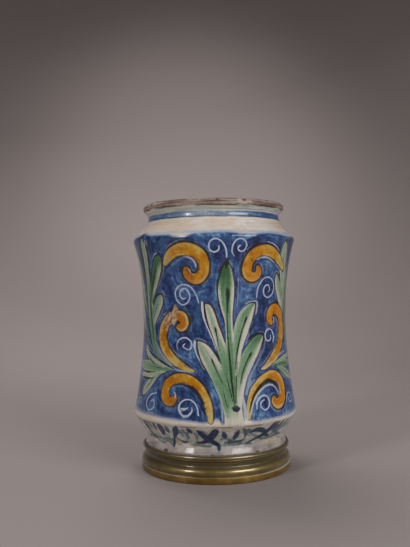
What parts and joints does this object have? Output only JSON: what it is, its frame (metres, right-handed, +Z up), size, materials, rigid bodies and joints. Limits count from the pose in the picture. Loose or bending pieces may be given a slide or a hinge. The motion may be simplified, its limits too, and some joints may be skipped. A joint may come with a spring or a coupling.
{
  "type": "albarello jar on a foot mount",
  "caption": "Waisted tin-glazed drug jar with a rolled lip, painted with scrolling leaves on a blue ground, bedded in a turned brass foot mount; it stands free and holds dry goods.",
  "frame": {"origin": "centre of the round base, on the surface that it stands on", "axes": "+Z up along the jar's axis; the front of the decoration, with the green palmette, faces -Y"},
  "size_m": [0.136, 0.136, 0.218],
  "materials": {
    "glaze": "glossy tin glaze painted in cobalt, copper green and ochre, crazed and rubbed at the edges",
    "plaster": "matt set plaster",
    "brass_dark": "turned brass with a dark olive patina, rubbed bright on the beads",
    "brass_gold": "turned brass, lightly tarnished gold",
    "iron": "dull browned sheet iron",
    "screw_brass": "dull screw brass",
    "baize": "napped green baize"
  },
  "bodies": {
    "root": {"jar": "glaze", "bedding_ring": "plaster", "collar_ring": "brass_dark", "moulding_ring": "brass_dark", "plinth_ring": "brass_gold", "base_plate": "iron", "base_screws": "screw_brass", "felt_pad": "baize"}
  },
  "joints": []
}
